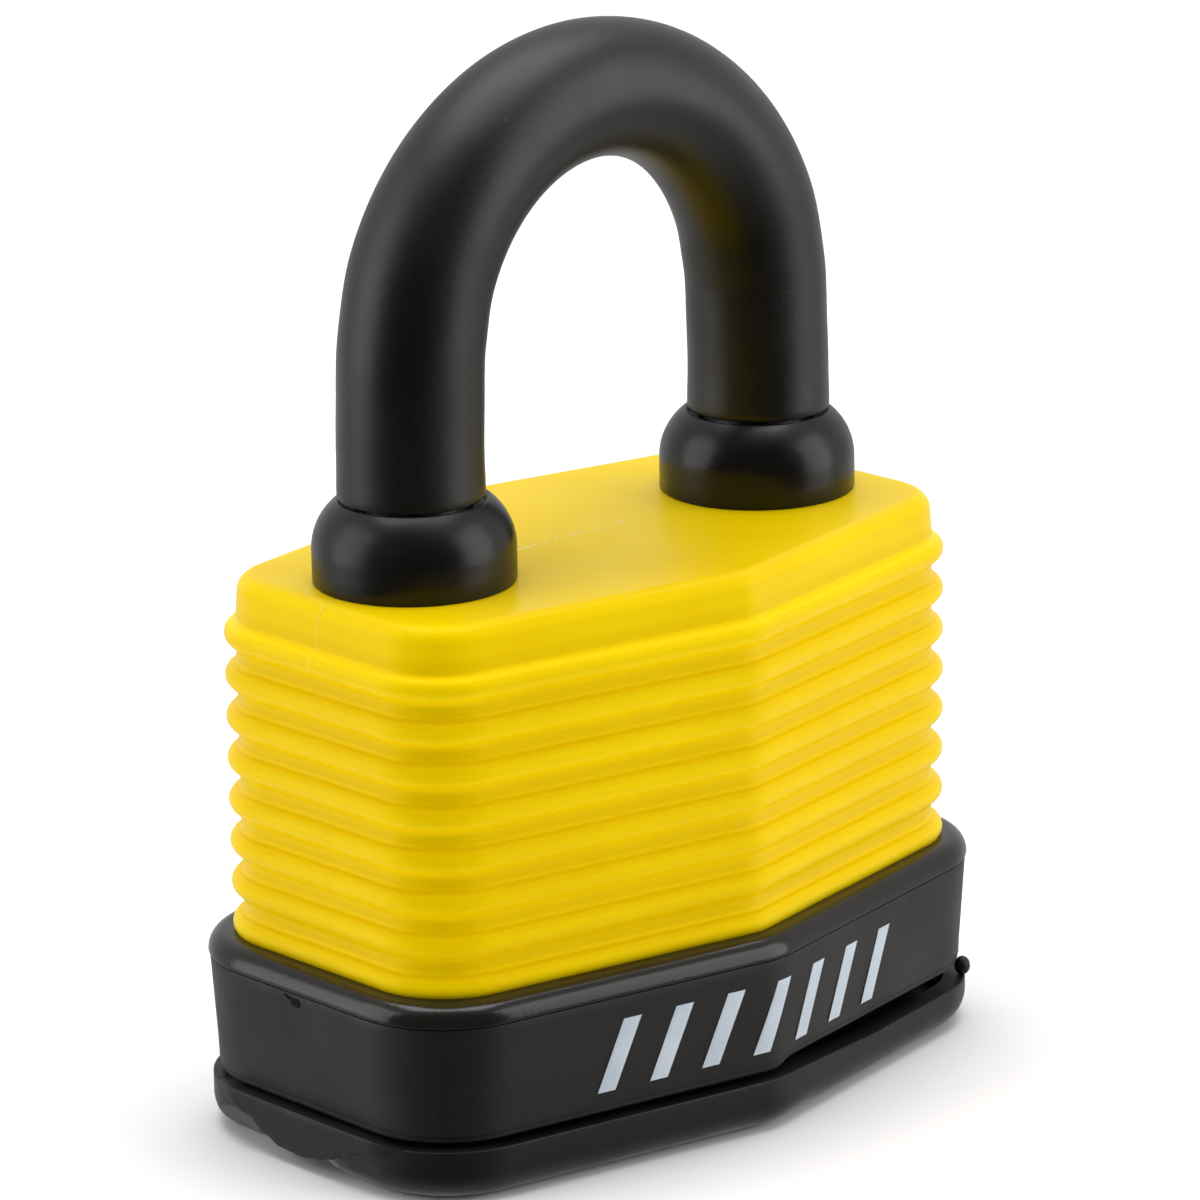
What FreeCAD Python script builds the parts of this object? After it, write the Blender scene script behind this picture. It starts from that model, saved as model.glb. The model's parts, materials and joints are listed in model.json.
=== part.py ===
import FreeCAD, Part
import math
import os
import re
import Sketcher

# Weatherproof disc-detainer padlock, in millimetres.
# The origin is the centre of the underside; +Z is up the shackle, +X runs to the
# shackle's heel and the cover's hinge, and -Y is the front.

os.makedirs("parts", exist_ok=True)
doc = FreeCAD.newDocument("disc_padlock")
UP = FreeCAD.Vector(0, 0, 1)

VALUES = {
    # plan of the jacket, an elongated hexagon with a fold in the middle of each long side
    "half_width": 28.95,
    "peak": 18.0,
    "face_angle": 11.2,
    "corner_r": 6.0,
    "fold_r": 4.2,
    # jacket
    "jacket_bottom": 16.0,
    "jacket_top": 45.0,
    "jacket_wall": 3.75,
    "jacket_roof": 2.4,
    "top_round": 1.4,
    "rib_first": 16.58,
    "rib_pitch": 3.395,
    "rib_count": 8,
    "rib_out": 0.92,
    "rib_half": 1.1,
    # bottom band
    "band_bottom": 4.8,
    "band_floor": 6.2,
    "band_foot_out": 2.3,
    "band_wall_out": 2.82,
    "band_step": 0.12,
    "band_step_z": 14.27,
    "band_round": 1.55,
    "tongue_in": 2.8,
    "tongue_out": 1.4,
    "tongue_height": 1.2,
    "tongue_gap": 0.1,
    # cover over the keyway
    "cover_out": 2.85,
    "cover_round": 2.5,
    "cover_top": 4.3,
    "cover_low_top": 3.7,
    "ramp_start": 1.0,
    "ramp_end": 13.0,
    "cover_floor": 1.8,
    "cover_wall_in": 1.0,
    "lip_out": 3.15,
    "lip_bottom": 3.3,
    "lip_top": 4.6,
    "lip_end": -31.1,
    "lobe_half": 6.5,
    "lobe_curve": 10.3,
    "bevel_z": 3.0,
    "bevel_in": 2.5,
    "gasket_r": 12.2,
    "gasket_wall": 1.2,
    "gasket_top": 4.6,
    # hinge of the cover
    "hinge_x": 30.95,
    "hinge_z": 4.4,
    "knuckle_r": 1.15,
    "knuckle_gap": 0.3,
    "knuckle_half": 3.6,
    "hinge_half": 7.2,
    "hinge_pin_r": 0.6,
    "hinge_play": 0.05,
    # laminated steel body
    "body_bottom": 6.4,
    "plate_t": 3.0,
    "plate_play": 0.2,
    "rivet_r": 2.0,
    "rivet_x": 12.0,
    "rivet_y": 8.0,
    # shackle
    "leg_x": 18.78,
    "bar_r": 4.5,
    "sleeve_r": 5.6,
    "crown_z": 61.6,
    "toe_z": 30.7,
    "heel_z": 7.4,
    "leg_bore_r": 4.7,
    "heel_bore_r": 5.45,
    "notch_z": 33.1,
    "notch_h": 6.6,
    "notch_core": 2.5,
    "neck_z": 11.1,
    "neck_h": 6.6,
    "clip_z": 8.2,
    "clip_t": 1.2,
    "clip_in": 3.9,
    "clip_out": 5.15,
    "sleeve_gap": 0.1,
    # rubber seals round the legs
    "seal_r": 7.93,
    "seal_side": 2.6,
    "seal_height": 6.52,
    "seal_lip_r": 6.0,
    "seal_curve": 4.95,
    "seal_neck_r": 5.7,
    # locking bolts
    "bolt_z": 33.5,
    "bolt_h": 5.8,
    "bolt_half": 4.0,
    "bolt_play": 0.2,
    "bolt_tip": 13.95,
    "bolt_heel": 0.8,
    "bolt_travel": 2.0,
    "cam_pin_x": 5.5,
    "cam_pin_r": 1.2,
    "cam_pin_z": 31.3,
    # cam plate
    "cam_r": 10.2,
    "cam_z": 31.0,
    "cam_t": 2.0,
    "cam_slot_half": 1.5,
    "cam_cavity_r": 10.5,
    # disc-detainer core
    "core_r": 9.0,
    "core_top": 30.4,
    "flange_r": 10.5,
    "flange_hole_r": 10.6,
    "face_hole_r": 5.0,
    "rotor_r": 6.85,
    "rotor_play": 0.05,
    "rotor_bore": 5.35,
    "rotor_z": 6.5,
    "rotor_top": 30.2,
    "rotor_roof": 28.6,
    "stub_r": 3.0,
    "front_z": 6.6,
    "front_t": 2.0,
    "disc_r": 5.25,
    "disc_t": 1.9,
    "disc_z": 8.8,
    "disc_pitch": 2.5,
    "spacer_in": 3.6,
    "keyhole_r": 2.4,
    "keyhole_flat": 0.9,
    "code_step": 18.0,
    "sidebar_r": 1.0,
    "sidebar_y": 5.75,
    "gate_r": 1.15,
}
DISC_CODE = (0, 3, 1, 5, 2, 4, 1, 0)
PLATE_COUNT = 12

dims = doc.addObject("Spreadsheet::Sheet", "dims")
for row, (alias, number) in enumerate(VALUES.items(), start=1):
    dims.set("A%d" % row, alias)
    dims.set("B%d" % row, str(number))
    dims.setAlias("B%d" % row, alias)
doc.recompute()

subparts = []


def full(expression):
    """Point every dimension name in an expression at the sheet."""
    def point(match):
        word = match.group(0)
        return "dims." + word if word in VALUES else word
    return re.sub(r"[a-z_]+", point, str(expression))


def val(expression):
    return float(dims.evalExpression(full(expression)))


def new_body(label, z="0", x="0"):
    body = doc.addObject("PartDesign::Body", label)
    body.Label = label
    body.setExpression("Placement.Base.x", full(x))
    body.setExpression("Placement.Base.z", full(z))
    subparts.append(body)
    return body


def plane(body, role):
    for feature in body.Origin.OriginFeatures:
        if feature.Role == role:
            return feature
    raise ValueError("no origin plane " + role)


def new_sketch(body, height="0", role="XY_Plane"):
    sketch = body.newObject("Sketcher::SketchObject", "sketch")
    sketch.AttachmentSupport = [(plane(body, role), "")]
    sketch.MapMode = "FlatFace"
    sketch.setExpression("AttachmentOffset.Base.z", full(height))
    return sketch


def bind(sketch, constraint, expression):
    index = sketch.addConstraint(constraint)
    sketch.setExpression("Constraints[%d]" % index, full(expression))


def pin_point(sketch, geo, end, x, y):
    """Hold one point of a sketch at a pair of expressions."""
    for kind, expression, axis in (("DistanceX", x, -2), ("DistanceY", y, -1)):
        number = val(expression)
        if abs(number) < 1e-9:
            sketch.addConstraint(Sketcher.Constraint("PointOnObject", geo, end, axis))
        else:
            held = Sketcher.Constraint(kind, -1, 1, geo, end, number)
            bind(sketch, held, expression)


def circle(sketch, radius, x="0", y="0"):
    centre = FreeCAD.Vector(val(x), val(y), 0)
    geo = sketch.addGeometry(Part.Circle(centre, UP, val(radius)), False)
    pin_point(sketch, geo, 3, x, y)
    bind(sketch, Sketcher.Constraint("Radius", geo, val(radius)), radius)


def arc_between(start, finish, radius, turn):
    """Arc shorter than a half circle; turn is 1 counter-clockwise, -1 clockwise."""
    chord = finish - start
    normal = FreeCAD.Vector(-chord.y, chord.x, 0).normalize() * turn
    rise = math.sqrt(max(radius * radius - chord.Length ** 2 / 4, 0))
    centre = (start + finish) * 0.5 + normal * rise
    a = math.atan2(start.y - centre.y, start.x - centre.x)
    b = math.atan2(finish.y - centre.y, finish.x - centre.x)
    if turn < 0:
        a, b = b, a
    return Part.ArcOfCircle(Part.Circle(centre, UP, radius), a, b)


def outline(sketch, corners, closed=True):
    """Chain of lines and arcs. A corner is (x, y), or (x, y, radius, turn) where an arc
    leads on to the next corner."""
    points = [FreeCAD.Vector(val(c[0]), val(c[1]), 0) for c in corners]
    pieces = len(corners) if closed else len(corners) - 1
    chain = []
    for i in range(pieces):
        corner = corners[i]
        start = points[i]
        finish = points[(i + 1) % len(points)]
        if len(corner) == 2:
            geo = sketch.addGeometry(Part.LineSegment(start, finish), False)
            first, last = 1, 2
        else:
            radius = val(corner[2])
            geo = sketch.addGeometry(arc_between(start, finish, radius, corner[3]), False)
            first, last = (1, 2) if corner[3] > 0 else (2, 1)
            bind(sketch, Sketcher.Constraint("Radius", geo, radius), corner[2])
        pin_point(sketch, geo, first, corner[0], corner[1])
        chain.append((geo, first, last))
    for here, there in zip(chain, chain[1:] + chain[:1] if closed else chain[1:]):
        joined = Sketcher.Constraint("Coincident", here[0], here[2], there[0], there[1])
        sketch.addConstraint(joined)
    if not closed:
        pin_point(sketch, chain[-1][0], chain[-1][2], corners[-1][0], corners[-1][1])


def rectangle(sketch, x0, x1, y0, y1):
    outline(sketch, [(x0, y0), (x1, y0), (x1, y1), (x0, y1)])


def hexagon(sketch, out="0", split=False):
    """The padlock's plan, moved outward by a distance, with its corners and folds round.
    split puts one more point in the middle of the +X end."""
    half = "(half_width + (%s))" % out
    peak = "(peak + (%s) / cos(face_angle * 1deg))" % out
    end = "(%s - %s * tan(face_angle * 1deg))" % (peak, half)
    corner = "(corner_r + (%s))" % out
    fold = "(fold_r + (%s))" % out
    run = "(%s * tan(45deg - face_angle * 0.5deg))" % corner
    end_y = "(%s - %s)" % (end, run)
    side_x = "(%s - %s * cos(face_angle * 1deg))" % (half, run)
    side_y = "(%s + %s * sin(face_angle * 1deg))" % (end, run)
    fold_x = "(%s * sin(face_angle * 1deg))" % fold
    fold_y = "(%s - %s * tan(face_angle * 1deg) * sin(face_angle * 1deg))" % (peak, fold)
    corners = [
        (half, end_y, corner, 1),
        (side_x, side_y),
        (fold_x, fold_y, fold, 1),
        ("-" + fold_x, fold_y),
        ("-" + side_x, side_y, corner, 1),
        ("-" + half, end_y),
        ("-" + half, "-" + end_y, corner, 1),
        ("-" + side_x, "-" + side_y),
        ("-" + fold_x, "-" + fold_y, fold, 1),
        (fold_x, "-" + fold_y),
        (side_x, "-" + side_y, corner, 1),
        (half, "-" + end_y),
    ]
    if split:
        corners.append((half, "0"))
    outline(sketch, corners)


def pad(body, sketch, length, both=False):
    feature = body.newObject("PartDesign::Pad", "pad")
    feature.Profile = sketch
    feature.setExpression("Length", full(length))
    if both:
        feature.SideType = "Symmetric"
    body.Tip = feature
    doc.recompute()
    return feature


def cut(body, sketch, length, both=False):
    """Remove material on the side that the sketch's plane faces."""
    before = body.Shape.Volume
    feature = body.newObject("PartDesign::Pocket", "cut")
    feature.Profile = sketch
    feature.Reversed = True
    feature.setExpression("Length", full(length))
    if both:
        feature.SideType = "Symmetric"
    body.Tip = feature
    doc.recompute()
    if body.Shape.Volume > before - 1e-3:
        raise ValueError("cut removes nothing from " + body.Label)
    return feature


def cut_circles(body, height, length, circles):
    sketch = new_sketch(body, height)
    for entry in circles:
        circle(sketch, *entry)
    cut(body, sketch, length)


def turned(body, corners):
    """Turn a profile of (radius, height) corners about the body's Z axis."""
    sketch = new_sketch(body, role="XZ_Plane")
    outline(sketch, corners)
    feature = body.newObject("PartDesign::Revolution", "turned")
    feature.Profile = sketch
    feature.ReferenceAxis = (sketch, ["V_Axis"])
    feature.Angle = 360
    body.Tip = feature
    doc.recompute()


def swept(body, profile, spine):
    feature = body.newObject("PartDesign::AdditivePipe", "swept")
    feature.Profile = profile
    feature.Spine = spine
    body.Tip = feature
    doc.recompute()
    return feature


def edges_where(feature, test):
    names = []
    for i, edge in enumerate(feature.Shape.Edges, start=1):
        if test(edge):
            names.append("Edge%d" % i)
    if not names:
        raise ValueError("no edge matches")
    return names


def soften(body, kind, size, test):
    """Fillet or chamfer the edges of the tip that pass a test."""
    base = body.Tip
    names = edges_where(base, test)
    feature = body.newObject("PartDesign::" + kind, kind.lower())
    feature.Base = (base, names)
    feature.setExpression("Radius" if kind == "Fillet" else "Size", full(size))
    body.Tip = feature
    doc.recompute()


def flat_at(height):
    """Edges that lie wholly at one height."""
    level = val(height)
    return lambda edge: (abs(edge.BoundBox.ZMin - level) < 1e-4
                         and abs(edge.BoundBox.ZMax - level) < 1e-4)


def hex_block(body, bottom, height, out):
    sketch = new_sketch(body, bottom)
    hexagon(sketch, out)
    pad(body, sketch, height)


def hex_hollow(body, bottom, height, out):
    sketch = new_sketch(body, bottom)
    hexagon(sketch, out)
    cut(body, sketch, height)


def hex_ring_cut(body, bottom, height, out, inner):
    sketch = new_sketch(body, bottom)
    hexagon(sketch, out)
    hexagon(sketch, inner)
    cut(body, sketch, height)


def hex_sweep(body, level, corners):
    """Carry a wall section round the plan at one level."""
    profile = new_sketch(body, role="XZ_Plane")
    outline(profile, corners)
    spine = new_sketch(body, level)
    hexagon(spine, split=True)
    return swept(body, profile, spine)


def along_hinge(body, y0, y1, radius):
    """Sketch of a round on the hinge axis, on a plane across that axis at y1."""
    sketch = new_sketch(body, "-(%s)" % y1, role="XZ_Plane")
    circle(sketch, radius, "hinge_x", "hinge_z")
    return sketch, "(%s) - (%s)" % (y1, y0)


def knuckle(body, y0, y1):
    sketch, length = along_hinge(body, y0, y1, "knuckle_r")
    pad(body, sketch, length)


def hinge_cut(body, y0, y1, radius):
    sketch, length = along_hinge(body, y0, y1, radius)
    cut(body, sketch, length)


def jacket():
    body = new_body("jacket")
    hex_block(body, "jacket_bottom", "jacket_top - jacket_bottom", "0")
    soften(body, "Fillet", "top_round", flat_at("jacket_top"))
    bulge = "(rib_half * rib_half + rib_out * rib_out) / (2 * rib_out)"
    rib = hex_sweep(body, "rib_first", [
        ("half_width - 0.6", "rib_first - rib_half"),
        ("half_width", "rib_first - rib_half", bulge, 1),
        ("half_width", "rib_first + rib_half"),
        ("half_width - 0.6", "rib_first + rib_half"),
    ])
    ribs = body.newObject("PartDesign::LinearPattern", "ribs")
    ribs.Originals = [rib]
    ribs.Direction = (plane(body, "Z_Axis"), [""])
    ribs.Mode = "Spacing"
    ribs.setExpression("Offset", full("rib_pitch"))
    ribs.setExpression("Occurrences", full("rib_count"))
    body.Tip = ribs
    doc.recompute()
    below = new_sketch(body, "jacket_bottom - 3")
    rectangle(below, "-40", "40", "-30", "30")
    cut(body, below, "3")
    hollow = "jacket_top - jacket_roof - jacket_bottom"
    hex_hollow(body, "jacket_bottom", hollow, "-jacket_wall")
    hex_ring_cut(body, "jacket_bottom", "tongue_height + tongue_gap",
                 "-tongue_out + tongue_gap", "-tongue_in - tongue_gap")
    legs = [("seal_neck_r", "leg_x"), ("seal_neck_r", "-leg_x")]
    cut_circles(body, "jacket_top - jacket_roof - 1", "jacket_roof + 2", legs)


def bottom_band():
    body = new_body("bottom_band")
    hex_block(body, "band_bottom", "jacket_bottom - band_bottom", "0")
    shoulder = "half_width + band_wall_out + band_step"
    hex_sweep(body, "band_bottom", [
        ("half_width - 1", "band_bottom"),
        ("half_width + band_foot_out - 0.35", "band_bottom"),
        ("half_width + band_foot_out", "band_bottom + 0.35"),
        ("half_width + band_wall_out", "band_step_z"),
        (shoulder, "band_step_z + band_step"),
        (shoulder, "jacket_bottom - band_round", "band_round", 1),
        (shoulder + " - band_round", "jacket_bottom"),
        ("half_width - 1", "jacket_bottom"),
    ])
    hex_hollow(body, "band_floor", "jacket_bottom - band_floor", "-jacket_wall")
    tongue = new_sketch(body, "jacket_bottom - 0.5")
    hexagon(tongue, "-tongue_out")
    hexagon(tongue, "-tongue_in")
    pad(body, tongue, "tongue_height + 0.5")
    cut_circles(body, "band_bottom - 1", "band_floor - band_bottom + 2", [("flange_hole_r",)])
    for side in (1, -1):
        ends = sorted(("%d * hinge_half" % side, "%d * (knuckle_half + knuckle_gap)" % side), key=val)
        knuckle(body, *ends)
    relief = "knuckle_half + knuckle_gap"
    hinge_cut(body, "-(%s)" % relief, relief, "knuckle_r + knuckle_gap")
    hinge_cut(body, "-hinge_half", "hinge_half", "hinge_pin_r")


def keyway_cover():
    body = new_body("keyway_cover")
    hex_block(body, "lip_bottom", "lip_top - lip_bottom", "lip_out")
    trim = new_sketch(body, "lip_bottom")
    rectangle(trim, "lip_end", "40", "-30", "30")
    cut(body, trim, "lip_top - lip_bottom")
    hex_block(body, "0", "cover_top", "cover_out")
    soften(body, "Fillet", "cover_round", flat_at("0"))
    wall = "-(half_width + cover_out)"
    bevel = new_sketch(body, role="XZ_Plane")
    outline(bevel, [
        (wall + " - 0.01", "bevel_z"),
        (wall + " - 3", "bevel_z"),
        (wall + " - 3", "-1"),
        (wall + " + bevel_in", "-1"),
        (wall + " + bevel_in", "0"),
    ])
    cut(body, bevel, "60", both=True)
    lobe = new_sketch(body, "-(half_width + lip_out)", role="YZ_Plane")
    outline(lobe, [
        ("lobe_half", "lip_bottom + 0.1"),
        ("-lobe_half", "lip_bottom + 0.1", "lobe_curve", 1),
    ])
    pad(body, lobe, "lip_out - cover_wall_in")
    hex_hollow(body, "cover_floor", "lip_top - cover_floor", "cover_wall_in")
    low = new_sketch(body, role="XZ_Plane")
    outline(low, [
        ("ramp_start", "cover_top"),
        ("ramp_end", "cover_low_top"),
        ("40", "cover_low_top"),
        ("40", "lip_top"),
        ("ramp_start", "lip_top"),
    ])
    cut(body, low, "60", both=True)
    ring = new_sketch(body, "cover_floor - 0.3")
    circle(ring, "gasket_r")
    circle(ring, "gasket_r - gasket_wall")
    pad(body, ring, "gasket_top - cover_floor + 0.3")
    web = new_sketch(body, "cover_floor")
    rectangle(web, "hinge_x - 0.95", "half_width + cover_out", "-knuckle_half", "knuckle_half")
    pad(body, web, "hinge_z - cover_floor")
    knuckle(body, "-knuckle_half", "knuckle_half")
    for side in (1, -1):
        ends = sorted(("%d * (hinge_half + 0.3)" % side, "%d * (knuckle_half)" % side), key=val)
        hinge_cut(body, *ends, "knuckle_r + knuckle_gap")
    hinge_cut(body, "-knuckle_half", "knuckle_half", "hinge_pin_r + hinge_play")


def cover_hinge_pin():
    body = new_body("cover_hinge_pin")
    sketch, length = along_hinge(body, "-hinge_half", "hinge_half", "hinge_pin_r")
    pad(body, sketch, length)


def shackle_spine(body, toe, heel):
    spine = new_sketch(body, role="XZ_Plane")
    outline(spine, [
        ("-leg_x", toe),
        ("-leg_x", "crown_z", "leg_x", -1),
        ("0", "crown_z + leg_x", "leg_x", -1),
        ("leg_x", "crown_z"),
        ("leg_x", heel),
    ], closed=False)
    return spine


def shackle_bar():
    body = new_body("shackle_bar")
    section = new_sketch(body, "toe_z")
    circle(section, "bar_r", "-leg_x")
    swept(body, section, shackle_spine(body, "toe_z", "heel_z"))
    for level, height, core in (("neck_z", "neck_h", "notch_core"), ("clip_z", "clip_t", "clip_in")):
        groove = new_sketch(body, level)
        circle(groove, core, "leg_x")
        circle(groove, "bar_r + 1", "leg_x")
        cut(body, groove, height)
    notches = new_sketch(body, "notch_z")
    rectangle(notches, "-leg_x + notch_core", "-leg_x + bar_r + 1", "-5", "5")
    rectangle(notches, "leg_x - bar_r - 1", "leg_x - notch_core", "-5", "5")
    cut(body, notches, "notch_h")
    soften(body, "Chamfer", "0.8", flat_at("toe_z"))
    soften(body, "Chamfer", "0.5", flat_at("heel_z"))


def shackle_sleeve():
    body = new_body("shackle_sleeve")
    foot = "jacket_top + seal_height + sleeve_gap"
    section = new_sketch(body, foot)
    circle(section, "sleeve_r", "-leg_x")
    circle(section, "bar_r", "-leg_x")
    swept(body, section, shackle_spine(body, foot, foot))


def heel_clip():
    body = new_body("heel_clip")
    ring = new_sketch(body, "clip_z")
    circle(ring, "clip_out", "leg_x")
    circle(ring, "clip_in", "leg_x")
    pad(body, ring, "clip_t")
    gap = new_sketch(body, "clip_z - 1")
    rectangle(gap, "leg_x - 7", "leg_x", "-2", "2")
    cut(body, gap, "clip_t + 2")


def seal(label, x):
    body = new_body(label, "jacket_top", x)
    turned(body, [
        ("leg_bore_r", "-jacket_roof"),
        ("seal_neck_r", "-jacket_roof"),
        ("seal_neck_r", "0"),
        ("seal_r", "0"),
        ("seal_r", "seal_side", "seal_curve", 1),
        ("seal_lip_r", "seal_height"),
        ("leg_bore_r", "seal_height"),
    ])


def plate(number):
    """One punched plate. The openings change up the stack: the core's bore, the cam's
    cavity, the channel of the bolts, then the roof that only the legs pass."""
    body = new_body("plate_%02d" % number, "body_bottom + %d * plate_t" % (number - 1))
    hex_block(body, "0", "plate_t", "-jacket_wall - plate_play")
    soften(body, "Fillet", "0.35", flat_at("plate_t"))
    holes = []
    for x in ("rivet_x", "-rivet_x"):
        for y in ("rivet_y", "-rivet_y"):
            holes.append(("rivet_r", x, y))
    holes.append(("heel_bore_r" if number < 10 else "leg_bore_r", "leg_x"))
    if number > 8:
        holes.append(("leg_bore_r", "-leg_x"))
    if number < 9:
        holes.append(("core_r",))
    if number == 9:
        holes.append(("cam_cavity_r",))
    cut_circles(body, "-1", "plate_t + 2", holes)
    if number in (10, 11):
        channel = new_sketch(body, "-1")
        rectangle(channel, "-leg_x", "leg_x", "-bolt_half - bolt_play", "bolt_half + bolt_play")
        cut(body, channel, "plate_t + 2")


def rivet(number, x, y):
    body = new_body("rivet_%d" % number, "body_bottom")
    sketch = new_sketch(body)
    circle(sketch, "rivet_r", x, y)
    pad(body, sketch, "%d * plate_t" % PLATE_COUNT)


def core_housing():
    body = new_body("core_housing")
    turned(body, [
        ("face_hole_r", "band_bottom"),
        ("flange_r", "band_bottom"),
        ("flange_r", "body_bottom"),
        ("core_r", "body_bottom"),
        ("core_r", "core_top"),
        ("rotor_r + rotor_play", "core_top"),
        ("rotor_r + rotor_play", "body_bottom"),
        ("face_hole_r", "body_bottom"),
    ])
    groove = [("gate_r", "-rotor_r", "0")]
    cut_circles(body, "disc_z", "core_top - disc_z", groove)


def rotor():
    body = new_body("rotor")
    turned(body, [
        ("rotor_bore", "rotor_z"),
        ("rotor_r", "rotor_z"),
        ("rotor_r", "rotor_top"),
        ("stub_r", "rotor_top"),
        ("stub_r", "cam_z + cam_t"),
        ("0", "cam_z + cam_t"),
        ("0", "rotor_roof"),
        ("rotor_bore", "rotor_roof"),
    ])
    slot = new_sketch(body, "disc_z")
    rectangle(slot, "-sidebar_r - 0.05", "sidebar_r + 0.05", "rotor_bore - 1", "rotor_r + 1")
    cut(body, slot, "rotor_roof - disc_z")


def keyhole(body, height, length):
    """D-shaped opening for a half-round key."""
    sketch = new_sketch(body, height)
    chord = "sqrt(keyhole_r * keyhole_r - keyhole_flat * keyhole_flat)"
    outline(sketch, [
        (chord, "-keyhole_flat"),
        ("keyhole_r", "0", "keyhole_r", 1),
        ("0", "keyhole_r", "keyhole_r", 1),
        ("-keyhole_r", "0"),
        ("-" + chord, "-keyhole_flat"),
    ])
    cut(body, sketch, length)


def front_disc():
    body = new_body("front_disc", "front_z")
    sketch = new_sketch(body)
    circle(sketch, "rotor_bore")
    pad(body, sketch, "front_t")
    keyhole(body, "-1", "front_t + 2")


def disc(number, code):
    """Coded disc: the gate's angle from the key's flat differs, and the disc is turned
    back by its code so that all the gates stand in line under the sidebar."""
    body = new_body("disc_%d" % number, "disc_z + %d * disc_pitch" % (number - 1))
    body.Placement.Rotation = FreeCAD.Rotation(UP, 0)
    body.setExpression("Placement.Rotation.Angle", full("%d * code_step" % code))
    sketch = new_sketch(body)
    circle(sketch, "disc_r")
    pad(body, sketch, "disc_t")
    angle = "(90deg - %d * code_step * 1deg)" % code
    gate = [("gate_r", "sidebar_y * cos(%s)" % angle, "sidebar_y * sin(%s)" % angle)]
    cut_circles(body, "-1", "disc_t + 2", gate)
    keyhole(body, "-1", "disc_t + 2")


def spacer(number):
    body = new_body("spacer_%d" % number, "disc_z + disc_t + %d * disc_pitch" % (number - 1))
    sketch = new_sketch(body)
    circle(sketch, "disc_r")
    circle(sketch, "spacer_in")
    pad(body, sketch, "disc_pitch - disc_t")
    cut_circles(body, "-1", "disc_pitch", [("gate_r", "0", "sidebar_y")])


def sidebar():
    body = new_body("sidebar")
    sketch = new_sketch(body, "disc_z + 0.3")
    circle(sketch, "sidebar_r", "0", "sidebar_y")
    pad(body, sketch, "rotor_roof - disc_z - 0.6")


def cam_slot(body, side):
    """Arc slot that moves its pin out in step with the turn, over a quarter turn."""
    sketch = new_sketch(body, "cam_z - 1")
    start = val("cam_pin_x")
    travel = val("bolt_travel")
    half = val("cam_slot_half")
    facing = 0.0 if side > 0 else math.pi

    def on_spiral(share):
        angle = facing - share * math.pi / 2
        reach = start + travel * share
        return FreeCAD.Vector(reach * math.cos(angle), reach * math.sin(angle), 0)

    middle = Part.Circle(on_spiral(0), on_spiral(0.5), on_spiral(1))
    centre = middle.Center
    ends = []
    for share in (0, 1):
        point = on_spiral(share)
        ray = (point - centre).normalize()
        ends.append((point + ray * half, point - ray * half, point))
    (out_a, in_a, mid_a), (out_b, in_b, mid_b) = ends

    def cap(first, last, point, away):
        return Part.Arc(first, point + away * half, last)

    tangent_a = UP.cross((mid_a - centre).normalize())
    tangent_b = UP.cross((centre - mid_b).normalize())
    bow = (on_spiral(0.5) - centre).normalize()
    wire = [
        Part.Arc(out_a, centre + bow * (middle.Radius + half), out_b),
        cap(out_b, in_b, mid_b, tangent_b),
        Part.Arc(in_b, centre + bow * (middle.Radius - half), in_a),
        cap(in_a, out_a, mid_a, tangent_a),
    ]
    for piece in wire:
        sketch.addGeometry(piece, False)
    for i in range(4):
        sketch.addConstraint(Sketcher.Constraint("Block", i))
    cut(body, sketch, "cam_t + 2")


def cam_plate():
    body = new_body("cam_plate")
    sketch = new_sketch(body, "cam_z")
    circle(sketch, "cam_r")
    circle(sketch, "stub_r")
    pad(body, sketch, "cam_t")
    cam_slot(body, 1)
    cam_slot(body, -1)


def bolt(label, side):
    body = new_body(label)
    sketch = new_sketch(body, "bolt_z")
    ends = sorted(("%d * bolt_heel" % side, "%d * bolt_tip" % side), key=val)
    rectangle(sketch, *ends, "-bolt_half", "bolt_half")
    pad(body, sketch, "bolt_h")
    tip = val("bolt_tip")

    def at_tip(edge):
        box = edge.BoundBox
        return abs(abs(box.Center.x) - tip) < 1e-4 and box.ZLength > 1

    soften(body, "Fillet", "0.8", at_tip)
    pin = new_sketch(body, "cam_pin_z")
    circle(pin, "cam_pin_r", "%d * cam_pin_x" % side)
    pad(body, pin, "bolt_z - cam_pin_z + 0.5")


jacket()
bottom_band()
keyway_cover()
cover_hinge_pin()
shackle_bar()
shackle_sleeve()
heel_clip()
seal("seal_left", "-leg_x")
seal("seal_right", "leg_x")
for number in range(1, PLATE_COUNT + 1):
    plate(number)
rivet(1, "-rivet_x", "-rivet_y")
rivet(2, "rivet_x", "-rivet_y")
rivet(3, "rivet_x", "rivet_y")
rivet(4, "-rivet_x", "rivet_y")
core_housing()
rotor()
front_disc()
for number, code in enumerate(DISC_CODE, start=1):
    disc(number, code)
for number in range(1, len(DISC_CODE)):
    spacer(number)
sidebar()
cam_plate()
bolt("bolt_left", -1)
bolt("bolt_right", 1)
doc.recompute()

for feature in doc.Objects:
    for word in ("Invalid", "Error"):
        if word in feature.State:
            raise ValueError("%s of %s is %s" % (feature.Name, feature.Label, word))
for body in subparts:
    if body.Shape.isNull() or not body.Shape.isValid() or len(body.Shape.Solids) != 1:
        raise ValueError("bad solid: " + body.Label)
    body.Shape.exportStep("parts/%s.step" % body.Label)
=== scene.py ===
import bpy
import json
import math
from mathutils import Matrix, Vector, noise


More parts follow.
